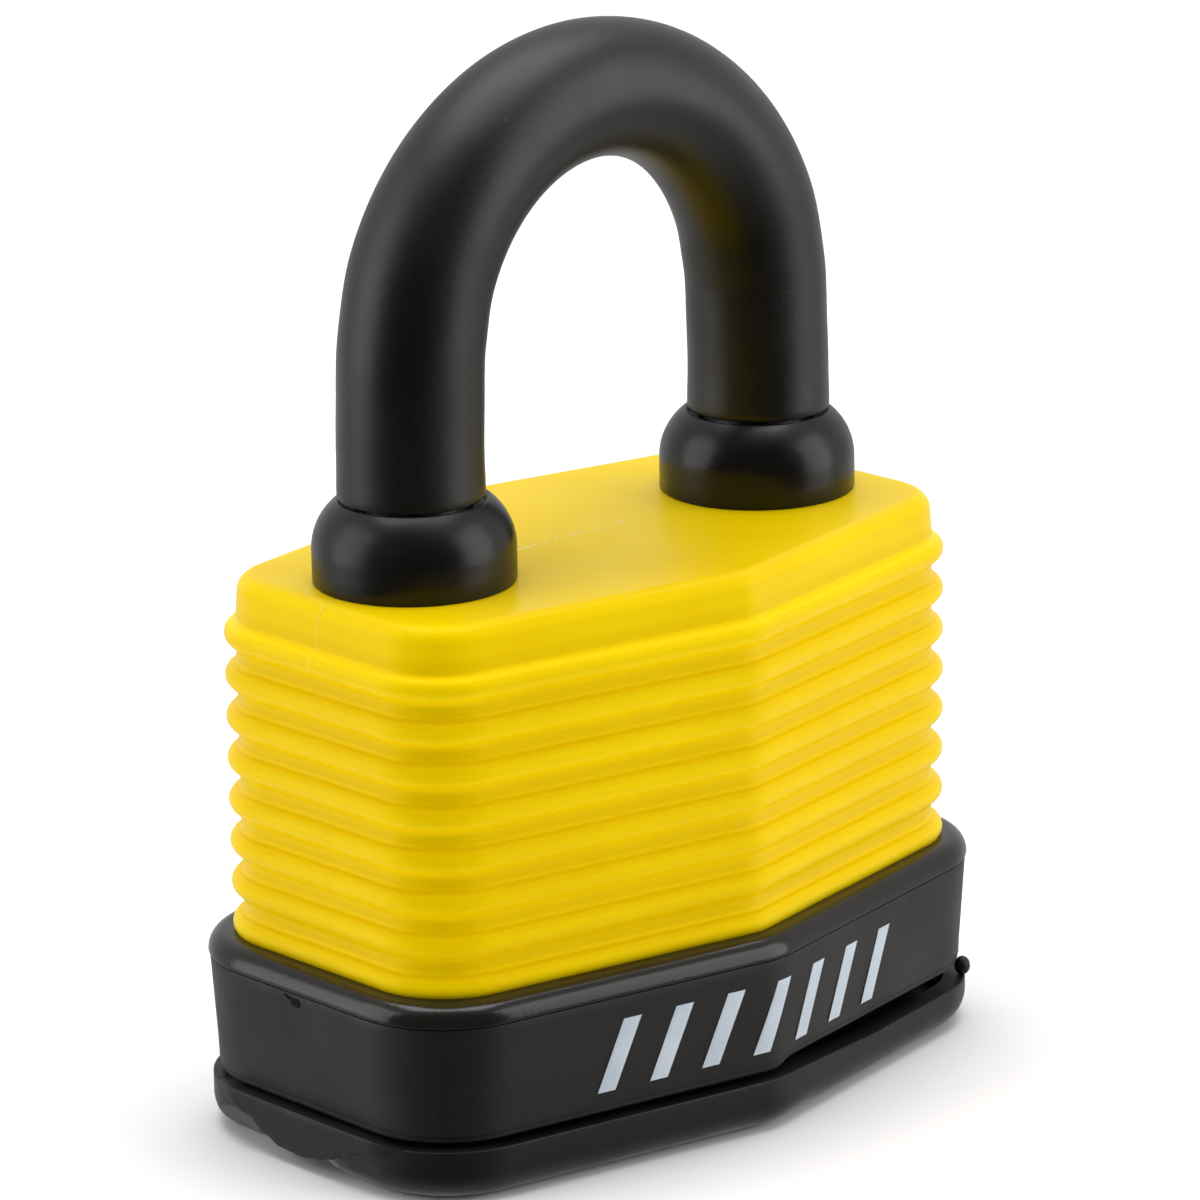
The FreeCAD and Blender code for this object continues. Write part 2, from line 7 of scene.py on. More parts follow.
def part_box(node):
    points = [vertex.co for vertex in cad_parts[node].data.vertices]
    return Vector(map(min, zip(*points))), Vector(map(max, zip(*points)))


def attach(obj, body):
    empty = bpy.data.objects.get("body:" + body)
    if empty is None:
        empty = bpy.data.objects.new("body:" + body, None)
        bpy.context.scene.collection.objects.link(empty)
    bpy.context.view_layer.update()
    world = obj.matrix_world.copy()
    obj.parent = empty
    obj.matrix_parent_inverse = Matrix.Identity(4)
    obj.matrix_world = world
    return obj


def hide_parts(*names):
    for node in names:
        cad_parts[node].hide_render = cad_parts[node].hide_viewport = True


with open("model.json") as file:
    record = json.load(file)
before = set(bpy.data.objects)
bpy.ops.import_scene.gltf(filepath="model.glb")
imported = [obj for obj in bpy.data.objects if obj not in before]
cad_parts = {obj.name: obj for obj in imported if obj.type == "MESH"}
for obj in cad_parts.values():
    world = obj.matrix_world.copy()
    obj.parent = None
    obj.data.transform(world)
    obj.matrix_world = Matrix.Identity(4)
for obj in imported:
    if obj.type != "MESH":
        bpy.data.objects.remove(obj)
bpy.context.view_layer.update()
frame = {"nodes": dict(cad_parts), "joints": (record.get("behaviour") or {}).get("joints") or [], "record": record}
nodes = frame["nodes"]
MM = 0.001


def mm(metres):
    """A size read off the frame, in millimetres, to a hundredth."""
    return round(metres / MM, 2)


# what the frame fixes: the levels of the jacket, the cover's hinge and the shackle's legs
jacket_low, jacket_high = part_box("jacket")
sleeve_low, sleeve_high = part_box("shackle_sleeve")
hinge = next(joint for joint in frame["joints"] if joint["name"] == "cover_hinge")
JACKET_Z, TOP_Z = mm(jacket_low.z), mm(jacket_high.z)
HINGE_X, HINGE_Z = mm(hinge["pos_m"][0]), mm(hinge["pos_m"][2])
LEG_X, CROWN_Z = mm(sleeve_high.x - sleeve_high.y), mm(sleeve_high.z - sleeve_high.x)
# the looks lift the sleeve's foot a little and thicken its legs
SLEEVE_Z, SLEEVE_R = mm(sleeve_low.z) + 0.04, mm(sleeve_high.y) + 0.1

# the plan of the jacket, an elongated hexagon with a fold in each long side, in millimetres
HALF, PEAK, TILT, CORNER, FOLD = 28.95, 18.0, math.radians(11.2), 6.0, 4.2
TOP_ROUND, DRAFT, RIB_WAVE, WALL_WAVE = 1.4, 0.16, 0.035, 0.02
RIB_FIRST, RIB_PITCH, RIBS, RIB_OUT, RIB_HALF = 16.58, 3.395, 8, 0.92, 0.95
# Z, TOP, LOW and FLOOR are heights; OUT, FOOT, WALL and COVER_IN are outward from the plan
BAND_Z, BAND_FLOOR, BAND_FOOT, BAND_WALL, BAND_ROUND = 4.8, 6.2, 2.3, 2.82, 1.55
BAND_STEP_Z, BAND_STEP = 14.27, 0.12
COVER_OUT, COVER_ROUND, COVER_TOP, COVER_LOW, COVER_RAMP = 2.85, 2.5, 4.3, 3.7, (1.0, 13.0)
COVER_FLOOR, COVER_IN = 1.8, 1.0
LIP_OUT, LIP_TOP, LIP_HALF, BEVEL_Z, BEVEL_IN = 3.15, 4.6, 11.6, 3.0, 2.5
KNUCKLE, KNUCKLE_HALF, KNUCKLE_GAP, HINGE_HALF = 1.15, 3.6, 0.3, 7.2
FLANGE_HOLE, GASKET_IN, GASKET_OUT = 10.6, 11.0, 12.2


# ---------------------------------------------------------------- geometry

def corner_centres():
    end = PEAK - HALF * math.tan(TILT)
    run = CORNER * math.tan(math.pi / 4 - TILT / 2)
    return HALF - CORNER, end - run, PEAK - FOLD / math.cos(TILT)


def plan(corner_steps=14, fold_steps=10, long_steps=26, end_marks=()):
    """Points of the jacket's plan and their outward normals, counter-clockwise."""
    cx, cy, fy = corner_centres()
    top = math.pi / 2
    arcs = [
        (cx, cy, CORNER, 0.0, top - TILT, corner_steps),
        (0.0, fy, FOLD, top - TILT, top + TILT, fold_steps),
        (-cx, cy, CORNER, top + TILT, math.pi, corner_steps),
        (-cx, -cy, CORNER, math.pi, math.pi + top - TILT, corner_steps),
        (0.0, -fy, FOLD, 3 * top - TILT, 3 * top + TILT, fold_steps),
        (cx, -cy, CORNER, 3 * top + TILT, 4 * top, corner_steps),
    ]
    points = []
    for i, (x, y, r, a, b, steps) in enumerate(arcs):
        for k in range(steps + 1):
            t = a + (b - a) * k / steps
            n = (math.cos(t), math.sin(t))
            points.append((x + r * n[0], y + r * n[1], n[0], n[1]))
        nx, ny, nr, na = arcs[(i + 1) % 6][:4]
        start = points[-1]
        finish = (nx + nr * math.cos(na), ny + nr * math.sin(na))
        length = math.hypot(finish[0] - start[0], finish[1] - start[1])
        if abs(start[2]) > 0.99:
            ys = sorted(set([k * length / 8 for k in range(1, 8)]
                            + [m + length / 2 for m in end_marks]))
            shares = [y / length for y in ys if 0.01 < y / length < 0.99]
        else:
            shares = [k / long_steps for k in range(1, long_steps)]
        for s in shares:
            points.append((start[0] + (finish[0] - start[0]) * s,
                           start[1] + (finish[1] - start[1]) * s, start[2], start[3]))
    return points


class Shape:
    """Rings of points joined into quads; points are in millimetres."""

    def __init__(self):
        self.points, self.faces, self.slots = [], [], []

    def ring(self, points):
        first = len(self.points)
        self.points.extend(Vector(p) * MM for p in points)
        return list(range(first, len(self.points)))

    def skin(self, a, b, closed=True, slot=0):
        n = len(a)
        for i in range(n if closed else n - 1):
            j = (i + 1) % n
            self.faces.append((a[i], a[j], b[j], b[i]))
            self.slots.append(slot)

    def stack(self, rings, closed=True, slot=0):
        made = [self.ring(r) for r in rings]
        for a, b in zip(made, made[1:]):
            self.skin(a, b, closed, slot)
        return made

    def lid(self, ring, slot=0, flip=False):
        self.faces.append(tuple(reversed(ring)) if flip else tuple(ring))
        self.slots.append(slot)

    def piece(self, name, body, materials, instead=(), angle=35):
        mesh = bpy.data.meshes.new(name)
        mesh.from_pydata(self.points, [], self.faces)
        for m in materials:
            mesh.materials.append(m)
        mesh.polygons.foreach_set("material_index", self.slots)
        mesh.polygons.foreach_set("use_smooth", [True] * len(self.faces))
        mesh.update()
        obj = bpy.data.objects.new(name, mesh)
        bpy.context.scene.collection.objects.link(obj)
        mesh.set_sharp_from_angle(angle=math.radians(angle))
        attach(obj, body)
        if instead:
            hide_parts(*instead)
        return obj


def level(points, out, z, wave=0.0, seed=0.0):
    """The plan moved outward by a distance, at one height or along a surface z(x, y).
    wave adds a faint unevenness."""
    ring = []
    for x, y, nx, ny in points:
        d = out
        if wave:
            d += wave * noise.noise(Vector((x * 0.12 + seed, y * 0.12, z * 0.1)))
        ring.append((x + d * nx, y + d * ny, z(x, y) if callable(z) else z))
    return ring


def above(surface, z):
    """A level that runs a fixed height over a surface."""
    return lambda x, y: surface(x, y) + z


def shrunk(ring, share):
    return [(x * share, y * share, z) for x, y, z in ring]


def flipped(rings):
    return [list(reversed(ring)) for ring in rings]


def soft(t):
    """Eases a share from 0 to 1 at both ends."""
    return t * t * (3 - 2 * t)


def arc(cx, cy, r, a, b, steps):
    out = []
    for k in range(steps + 1):
        t = math.radians(a + (b - a) * k / steps)
        out.append((cx + r * math.cos(t), cy + r * math.sin(t)))
    return out


def bow(a, b, r, steps):
    """Arc of one radius between two profile points, swelling to the right of the way."""
    dx, dz = b[0] - a[0], b[1] - a[1]
    chord = math.hypot(dx, dz)
    rise = math.sqrt(r * r - chord * chord / 4)
    cx = (a[0] + b[0]) / 2 - dz / chord * rise
    cz = (a[1] + b[1]) / 2 + dx / chord * rise
    start = math.degrees(math.atan2(a[1] - cz, a[0] - cx))
    finish = math.degrees(math.atan2(b[1] - cz, b[0] - cx))
    return arc(cx, cz, r, start, finish, steps)


def between(x, table):
    """Smooth curve through a table of (x, value)."""
    for (x0, v0), (x1, v1) in zip(table, table[1:]):
        if x <= x1:
            t = min(max((x - x0) / (x1 - x0), 0.0), 1.0)
            return v0 + (v1 - v0) * soft(t)
    return table[-1][1]


def lathe(profile, steps=96, x=0.0, y=0.0, z=0.0):
    rings = []
    for r, h in profile:
        rings.append([(x + r * math.cos(math.tau * k / steps),
                       y + r * math.sin(math.tau * k / steps), z + h) for k in range(steps)])
    return rings


def knuckle(bore, start, finish, steps=40):
    """Rings of one hinge knuckle from start to finish along Y, with its edges eased."""
    profile = [(bore, start), (KNUCKLE - 0.12, start), (KNUCKLE - 0.03, start + 0.03),
               (KNUCKLE, start + 0.12), (KNUCKLE, finish - 0.12), (KNUCKLE - 0.03, finish - 0.03),
               (KNUCKLE - 0.12, finish), (bore, finish)]
    rings = []
    for r, y in profile:
        rings.append([(HINGE_X + r * math.sin(math.tau * k / steps), y,
                       HINGE_Z + r * math.cos(math.tau * k / steps)) for k in range(steps)])
    return rings


# ---------------------------------------------------------------- materials

def colour(r, g, b):
    return (r, g, b, 1.0)


class Paint:
    """A principled material whose colour, roughness and relief come from noise."""

    def __init__(self, name, roughness, metallic=0.0, specular=0.5):
        self.material = bpy.data.materials.new(name)
        self.material.use_nodes = True
        self.tree = self.material.node_tree
        self.shader = self.tree.nodes["Principled BSDF"]
        self.shader.inputs["Metallic"].default_value = metallic
        self.shader.inputs["Roughness"].default_value = roughness
        self.shader.inputs["Specular IOR Level"].default_value = specular
        self.where = self.tree.nodes.new("ShaderNodeTexCoord").outputs["Object"]
        self.normal = None

    def node(self, kind, **settings):
        made = self.tree.nodes.new(kind)
        for key, value in settings.items():
            setattr(made, key, value)
        return made

    def link(self, a, b):
        self.tree.links.new(a, b)

    def stretched(self, scale, turn=(0, 0, 0)):
        mapping = self.node("ShaderNodeMapping")
        mapping.inputs["Scale"].default_value = scale
        mapping.inputs["Rotation"].default_value = turn
        self.link(self.where, mapping.inputs["Vector"])
        return mapping.outputs["Vector"]

    def noise(self, scale, detail=3.0, rough=0.55, where=None):
        tex = self.node("ShaderNodeTexNoise")
        tex.inputs["Scale"].default_value = scale
        tex.inputs["Detail"].default_value = detail
        tex.inputs["Roughness"].default_value = rough
        self.link(where or self.where, tex.inputs["Vector"])
        return tex.outputs["Fac"]

    def remap(self, value, a, b, low=0.0, high=1.0, smooth=False):
        m = self.node("ShaderNodeMapRange")
        m.interpolation_type = "SMOOTHSTEP" if smooth else "LINEAR"
        m.clamp = True
        for key, number in (("From Min", a), ("From Max", b), ("To Min", low), ("To Max", high)):
            m.inputs[key].default_value = number
        self.link(value, m.inputs["Value"])
        return m.outputs["Result"]

    def math(self, operation, a, b=None):
        m = self.node("ShaderNodeMath", operation=operation)
        for i, v in enumerate((a, b)):
            if v is None:
                continue
            if isinstance(v, (int, float)):
                m.inputs[i].default_value = v
            else:
                self.link(v, m.inputs[i])
        return m.outputs["Value"]

    def axis(self, name):
        split = self.node("ShaderNodeSeparateXYZ")
        self.link(self.where, split.inputs["Vector"])
        return split.outputs[name]

    def mix(self, share, a, b):
        m = self.node("ShaderNodeMix", data_type="RGBA")
        self.link(share, m.inputs["Factor"])
        for socket, v in ((m.inputs[6], a), (m.inputs[7], b)):
            if isinstance(v, tuple):
                socket.default_value = v
            else:
                self.link(v, socket)
        return m.outputs[2]

    def base(self, value):
        self.link(value, self.shader.inputs["Base Color"])

    def rough(self, value):
        self.link(value, self.shader.inputs["Roughness"])

    def relief(self, height, distance, strength=1.0):
        bump = self.node("ShaderNodeBump")
        bump.inputs["Distance"].default_value = distance
        bump.inputs["Strength"].default_value = strength
        self.link(height, bump.inputs["Height"])
        if self.normal:
            self.link(self.normal, bump.inputs["Normal"])
        self.normal = bump.outputs["Normal"]
        self.link(self.normal, self.shader.inputs["Normal"])


def scratches(p, density, turn, scale=(90, 900, 90)):
    """Mask of thin stray lines."""
    lines = p.noise(1.0, 2.0, 0.5, p.stretched(scale, turn))
    line = p.remap(p.math("ABSOLUTE", p.math("SUBTRACT", lines, 0.5)), 0.0, 0.004, 1.0, 0.0)
    patch = p.remap(p.noise(70.0, 1.0), 0.62 - density, 0.72 - density)
    return p.math("MULTIPLY", line, patch)


def rib_painted_light_and_shade(p, tone):
    """Painted light and shade in two bands tied to the ribs' height: a clearer painted highlight along the crease
    at the top of each rib, and duller painted shade in the valleys between them.
    """
    below_top = p.remap(p.axis("Z"), 0.0424, 0.0430, 1.0, 0.0)
    # the first band is a painted highlight, the second is painted shade
    for rise, inner, outer, weight, shade in ((0.97, 0.02, 0.13, 0.9, colour(1.0, 0.705, 0.0004)),
                                              (-1.70, 0.04, 0.24, 0.6, colour(0.785, 0.540, 0.0))):
        start = (RIB_FIRST + rise) * MM
        turns = p.math("DIVIDE", p.math("SUBTRACT", p.axis("Z"), start), RIB_PITCH * MM)
        near = p.math("SUBTRACT", p.math("FRACT", p.math("ADD", turns, 0.5)), 0.5)
        band = p.remap(p.math("ABSOLUTE", near), inner, outer, weight, 0.0, True)
        tone = p.mix(p.math("MULTIPLY", band, below_top), tone, shade)
    return tone


def parting_line(p):
    """Mask of the mould's parting line, which runs over the top and down both ends, at y = 0."""
    wander = p.math("MULTIPLY", p.math("SUBTRACT", p.noise(240.0, 2.0), 0.5), 0.0004)
    off = p.math("ABSOLUTE", p.math("ADD", p.axis("Y"), wander))
    seam = p.remap(off, 0.00004, 0.00013, 1.0, 0.0, True)
    broken = p.remap(p.noise(160.0, 2.0), 0.38, 0.56, 0.25, 1.0)
    ends = p.remap(p.axis("Z"), 0.0335, 0.041, 0.25, 1.0)
    return p.math("MULTIPLY", p.math("MULTIPLY", seam, broken), ends)


def yellow_plastic():
    p = Paint("jacket_yellow", 0.36, specular=0.20)
    p.shader.inputs["Specular Tint"].default_value = (1.0, 0.76, 0.0, 1.0)
    cloud = p.remap(p.noise(55.0, 3.0), 0.35, 0.68)
    tone = p.mix(cloud, colour(0.835, 0.572, 0.0), colour(0.882, 0.630, 0.0002))
    streak = p.noise(1.0, 3.0, 0.6, p.stretched((60, 60, 14)))
    tone = p.mix(p.remap(streak, 0.55, 0.8, 0.0, 0.35), tone, colour(0.90, 0.652, 0.001))
    speck = p.remap(p.noise(900.0, 1.0), 0.76, 0.80, 0.0, 0.12)
    tone = p.mix(speck, tone, colour(0.62, 0.42, 0.01))
    # painted highlight and painted shade in bands over the ribs
    tone = rib_painted_light_and_shade(p, tone)
    seam = parting_line(p)
    tone = p.mix(p.math("MULTIPLY", seam, 0.40), tone, colour(0.93, 0.80, 0.18))
    wear = scratches(p, 0.04, (0.3, 0.2, 0.9))
    tone = p.mix(p.math("MULTIPLY", wear, 0.08), tone, colour(0.93, 0.82, 0.30))
    p.base(tone)
    p.rough(p.remap(p.noise(130.0, 4.0), 0.3, 0.7, 0.30, 0.42))
    p.relief(p.noise(1500.0, 2.0), 0.000003)
    p.relief(p.noise(110.0, 2.0), 0.00005, 0.5)
    p.relief(seam, 0.00006, 0.8)
    return p.material


def black_plastic(name, base, gloss_from=None, low=0.40, high=0.56, specular=0.38):
    """Moulded black plastic; above the height gloss_from it is smooth, where the band's shoulder is."""
    p = Paint(name, 0.48, specular=specular)
    dark = colour(*[c * 0.8 for c in base])
    light = colour(*[c * 1.25 for c in base])
    tone = p.mix(p.remap(p.noise(70.0, 4.0), 0.35, 0.7), dark, light)
    wear = scratches(p, 0.02, (0.1, 0.5, 0.2))
    tone = p.mix(p.math("MULTIPLY", wear, 0.10), tone, colour(0.10, 0.095, 0.09))
    dust = p.remap(p.noise(1300.0, 1.0), 0.79, 0.83, 0.0, 0.12)
    tone = p.mix(dust, tone, colour(0.16, 0.155, 0.15))
    p.base(tone)
    grain = p.remap(p.noise(160.0, 4.0), 0.3, 0.7, low, high)
    if gloss_from:
        share = p.remap(p.axis("Z"), gloss_from, gloss_from + 0.0002)
        m = p.node("ShaderNodeMix", data_type="FLOAT")
        p.link(share, m.inputs["Factor"])
        p.link(grain, m.inputs[2])
        m.inputs[3].default_value = 0.17
        grain = m.outputs[0]
    p.rough(grain)
    p.relief(p.noise(2600.0, 2.0), 0.000010)
    p.relief(p.noise(140.0, 2.0), 0.00005, 0.5)
    return p.material


def vinyl():
    p = Paint("sleeve_vinyl", 0.42, specular=0.46)
    p.shader.inputs["Sheen Weight"].default_value = 0.06
    p.shader.inputs["Sheen Roughness"].default_value = 0.4
    tone = p.mix(p.remap(p.noise(60.0, 4.0), 0.35, 0.7), colour(0.0016, 0.0014, 0.0012),
                 colour(0.0036, 0.0033, 0.0030))
    dust = p.remap(p.noise(800.0, 1.0), 0.78, 0.82, 0.0, 0.10)
    tone = p.mix(dust, tone, colour(0.13, 0.13, 0.13))
    scuff = scratches(p, 0.03, (0.2, 0.1, 1.2))
    tone = p.mix(p.math("MULTIPLY", scuff, 0.12), tone, colour(0.09, 0.09, 0.09))
    p.base(tone)
    p.rough(p.remap(p.noise(90.0, 5.0), 0.3, 0.7, 0.36, 0.50))
    p.relief(p.noise(1900.0, 3.0), 0.000014)
    p.relief(p.noise(120.0, 2.0), 0.00006, 0.6)
    return p.material


def rubber():
    p = Paint("seal_rubber", 0.30, specular=0.31)
    tone = p.mix(p.remap(p.noise(90.0, 4.0), 0.3, 0.7), colour(0.0045, 0.0045, 0.0048),
                 colour(0.0090, 0.0088, 0.0092))
    dust = p.remap(p.noise(1100.0, 1.0), 0.78, 0.82, 0.0, 0.10)
    tone = p.mix(dust, tone, colour(0.12, 0.12, 0.12))
    p.base(tone)
    smear = p.noise(1.0, 4.0, 0.6, p.stretched((150, 150, 420)))
    p.rough(p.remap(smear, 0.3, 0.7, 0.24, 0.38))
    p.relief(p.noise(1500.0, 2.0), 0.000006)
    p.relief(p.noise(220.0, 2.0), 0.00006, 0.4)
    return p.material


def metal(name, base, roughness, direction=(40, 40, 1600), stain=None):
    """Steel or brass with tool marks across one direction and faint stains."""
    p = Paint(name, roughness, metallic=1.0)
    dark = colour(*[c * 0.72 for c in base])
    tone = p.mix(p.remap(p.noise(120.0, 5.0), 0.3, 0.72), dark, colour(*base))
    if stain:
        tone = p.mix(p.remap(p.noise(240.0, 4.0), 0.60, 0.75, 0.0, 0.5), tone, colour(*stain))
    p.base(tone)
    marks = p.noise(1.0, 4.0, 0.65, p.stretched(direction))
    p.rough(p.remap(marks, 0.25, 0.75, roughness - 0.08, roughness + 0.12))
    p.relief(marks, 0.000012, 0.8)
    return p.material


def print_ink():
    p = Paint("mark_ink", 0.5)
    tone = p.mix(p.remap(p.noise(300.0, 4.0), 0.3, 0.7), colour(0.48, 0.55, 0.62),
                 colour(0.56, 0.62, 0.68))
    p.base(tone)
    p.rough(p.remap(p.noise(500.0, 3.0), 0.3, 0.7, 0.42, 0.6))
    p.relief(p.noise(2400.0, 2.0), 0.00001)
    return p.material


def flash_plastic():
    p = Paint("flash_yellow", 0.45)
    tone = p.mix(p.remap(p.noise(900.0, 3.0), 0.35, 0.65), colour(0.92, 0.82, 0.42),
                 colour(0.90, 0.74, 0.16))
    p.base(tone)
    p.rough(p.remap(p.noise(1500.0, 2.0), 0.3, 0.7, 0.35, 0.55))
    p.relief(p.noise(2500.0, 2.0), 0.00002)
    return p.material


YELLOW = yellow_plastic()
BAND = black_plastic("band_black", (0.0115, 0.0100, 0.0085), gloss_from=0.01432)
COVER = black_plastic("cover_black", (0.0090, 0.0083, 0.0078), low=0.36, high=0.52, specular=0.28)
# very dark plastic for the painted shade of small pits in the band
PIT_SHADE = black_plastic("pit_shade_black", (0.0030, 0.0022, 0.0020), low=0.55, high=0.7, specular=0.15)
VINYL = vinyl()
RUBBER = rubber()
BAR = metal("shackle_steel", (0.60, 0.60, 0.61), 0.26, (700, 700, 30))
PLATE = metal("plate_steel", (0.55, 0.55, 0.56), 0.38, (60, 900, 60), (0.25, 0.20, 0.14))
RIVET = metal("rivet_steel", (0.56, 0.56, 0.58), 0.32, (500, 500, 60))
PIN = metal("pin_steel", (0.62, 0.62, 0.64), 0.28, (900, 60, 900))
HARD = metal("hard_steel", (0.42, 0.42, 0.45), 0.30, (900, 60, 60), (0.20, 0.17, 0.20))
CLIP = metal("clip_steel", (0.24, 0.23, 0.22), 0.42)
SPACER = metal("spacer_steel", (0.62, 0.62, 0.64), 0.30)
BRASS = metal("core_brass", (0.78, 0.58, 0.26), 0.27, (1200, 1200, 40), (0.42, 0.27, 0.10))
INK = print_ink()
FLASH = flash_plastic()

BY_SLOT = {
    "jacket_yellow": YELLOW, "band_black": BAND, "cover_black": COVER, "sleeve_vinyl": VINYL,
    "seal_rubber": RUBBER, "shackle_steel": BAR, "plate_steel": PLATE, "rivet_steel": RIVET,
    "pin_steel": PIN, "hard_steel": HARD, "clip_steel": CLIP, "spacer_steel": SPACER,
    "core_brass": BRASS,
}
for part in frame["record"]["subparts"]:
    mesh = nodes[part["node"]].data
    mesh.materials.clear()
    mesh.materials.append(BY_SLOT[part["material_slot"]])


# ---------------------------------------------------------------- jacket

def rib_profile():
    """(outward, height) points up the jacket's wall: eight round beads, each with a small fillet
    above it, and a sloped underside with a wider fillet below."""
    r = (RIB_HALF ** 2 + RIB_OUT ** 2) / (2 * RIB_OUT)
    inset = r - RIB_OUT
    high, low, root = 0.30, 0.50, 46.0  # the two fillets' radii and the underside's slope
    rise = math.sqrt((r + high) ** 2 - (high + inset) ** 2)
    lean = math.degrees(math.atan2(rise, high + inset))
    tip = (r * math.cos(math.radians(root)) - inset, -r * math.sin(math.radians(root)))
    ease = low * math.tan(math.radians(root / 2))
    drop = tip[1] - tip[0] / math.tan(math.radians(root))
    out = [(-1.6, JACKET_Z - 0.02), (0.60, JACKET_Z - 0.02), (0.74, JACKET_Z)]
    for k in range(RIBS):
        z = RIB_FIRST + RIB_PITCH * k
        if k:
            out += arc(low, z + drop - ease, low, 180, 180 - root, 8)
        # the first bead rises out of the band, which hides most of its underside
        out += arc(-inset, z, r, -root if k else -22, lean, 20)
        out += arc(high, z + rise, high, 180 + lean, 180, 5)[1:]
    return out


def build_jacket():
    around = plan()
    shape = Shape()
    rings = [level(around, d, z, RIB_WAVE) for d, z in rib_profile()]
    last = RIB_FIRST + RIB_PITCH * (RIBS - 1) + RIB_HALF
    start = last + 0.25
    finish = TOP_Z - TOP_ROUND
    for k in range(1, 4):
        rings.append(level(around, -DRAFT * k / 4, start + (finish - start) * k / 4, WALL_WAVE))
    for d, z in arc(-TOP_ROUND - DRAFT, finish, TOP_ROUND, 0, 90, 12):
        rings.append(level(around, d, z))
    edge = rings[-1]
    for share in (0.985, 0.95, 0.88, 0.78, 0.66, 0.52, 0.36, 0.18):
        rings.append(shrunk(edge, share))
    made = shape.stack(rings)
    shape.lid(made[-1])
    return shape.piece("jacket_skin", "body", [YELLOW], ["jacket"])


def build_flash():
    """Thin torn skin left along the parting line on the jacket's top."""
    shape = Shape()
    for start, finish, tall in ((-9.4, -4.3, 0.11), (-3.9, -3.5, 0.09), (-2.4, -0.6, 0.08),
                                (0.1, 1.4, 0.12), (2.5, 4.2, 0.10), (5.0, 5.3, 0.07)):
        steps = max(4, int((finish - start) / 0.16))
        rings = []
        for k in range(steps + 1):
            t = k / steps
            x = start + (finish - start) * t
            swell = math.sin(math.pi * t) ** 0.5 if 0 < t < 1 else 0.02
            y = 0.16 * noise.noise(Vector((x * 0.9, 3.1, 0))) + 0.05 * math.sin(x * 5.0)
            w = (0.07 + 0.05 * noise.noise(Vector((x * 2.2, 9.0, 0)))) * swell
            h = tall * swell * (0.75 + 0.5 * noise.noise(Vector((x * 3.0, 5.0, 1))))
            rings.append([(x, y - w, TOP_Z - 0.02), (x, y - w * 0.5, TOP_Z + h * 0.8),
                          (x, y + w * 0.4, TOP_Z + h), (x, y + w, TOP_Z - 0.02)])
        shape.stack(rings, closed=False)
    return shape.piece("jacket_flash", "body", [FLASH], angle=70)


# ---------------------------------------------------------------- band

def band_floor(x, y):
    """The band's lower edge steps up past the middle and is lifted round the knuckle."""
    lift = between(x, [(0.0, 0.0), (1.5, 0.5), (12.0, 0.42), (29.0, 0.3)])
    at_knuckle = x > 20 and abs(y) < KNUCKLE_HALF + KNUCKLE_GAP + 0.01
    return BAND_Z + (1.0 if at_knuckle else lift)


def band_underside(around):
    """Rings from the round hole in the band's floor out to its foot."""
    inner = level(around, -1.2, BAND_Z)
    hole = []
    for x, y, _ in inner:
        a = math.atan2(y, x)
        hole.append((FLANGE_HOLE * math.cos(a), FLANGE_HOLE * math.sin(a), BAND_Z))
    rings = [[(x, y, BAND_FLOOR) for x, y, _ in hole],
             [(x, y, BAND_Z + 0.15) for x, y, _ in hole],
             [(x * 1.014, y * 1.014, BAND_Z) for x, y, _ in hole]]
    for share in (0.25, 0.6):
        rings.append([(h[0] + (p[0] - h[0]) * share, h[1] + (p[1] - h[1]) * share, BAND_Z)
                      for h, p in zip(hole, inner)])
    rings.append(inner)
    rings.append(level(around, -1.1, band_floor))
    rings.append(level(around, BAND_FOOT - 0.45, band_floor))
    return rings


def band_wall(around):
    """Rings up the band's wall: a grooved foot, the slope, a groove under the round shoulder."""
    foot = arc(BAND_FOOT - 0.28, 0.2, 0.2, -90, 0, 4)
    foot += [(BAND_FOOT - 0.08, 0.4), (BAND_FOOT - 0.12, 0.44), (BAND_FOOT - 0.12, 0.48),
             (BAND_FOOT - 0.01, 0.56), (BAND_FOOT + 0.01, 0.62)]
    rings = [level(around, d, above(band_floor, z)) for d, z in foot]
    start = BAND_Z + 1.3
    for k in range(1, 9):
        t = k / 9
        rings.append(level(around, BAND_FOOT + (BAND_WALL - BAND_FOOT) * t,
                           start + (BAND_STEP_Z - start) * t, WALL_WAVE, 4.0))
    shoulder = BAND_WALL + BAND_STEP
    for d, z in ((BAND_WALL, -0.13), (BAND_WALL - 0.02, -0.08), (BAND_WALL - 0.15, -0.04),
                 (BAND_WALL - 0.15, 0.02), (shoulder - 0.03, 0.08), (shoulder, 0.14)):
        rings.append(level(around, d, BAND_STEP_Z + z))
    for d, z in arc(shoulder - BAND_ROUND, JACKET_Z - BAND_ROUND, BAND_ROUND, 0, 90, 12):
        rings.append(level(around, d, z))
    rings.append(level(around, 0.9, JACKET_Z))
    rings.append(level(around, -1.0, JACKET_Z))
    return rings


def build_band():
    gap = KNUCKLE_HALF + KNUCKLE_GAP
    around = plan(end_marks=(-gap - 0.06, -gap, gap, gap + 0.06))
    shape = Shape()
    shape.stack(band_underside(around) + band_wall(around))
    for side in (-1, 1):
        shape.stack(knuckle(0.62, *sorted((side * gap, side * HINGE_HALF))))
    build_ear(shape, -1)
    build_ear(shape, 1)
    return shape.piece("band_shell", "body", [BAND], ["bottom_band"])


def build_ear(shape, side):
    """A small round ear under the band at each corner of the hinge end."""
    cx, cy, _ = corner_centres()
    turn, proud, wide, tall, middle = math.radians(49), 0.32, 0.66, 0.80, 4.46
    reach = CORNER + BAND_FOOT + proud
    x, y = cx + reach * math.cos(turn), cy + reach * math.sin(turn)
    rings = []
    for k in range(11):
        a = math.pi * k / 10
        r, h = math.sin(a), -math.cos(a)
        rings.append([(x + wide * r * math.cos(math.tau * i / 20),
                       side * y + wide * r * math.sin(math.tau * i / 20),
                       middle + tall * h) for i in range(20)])
    shape.stack(rings)


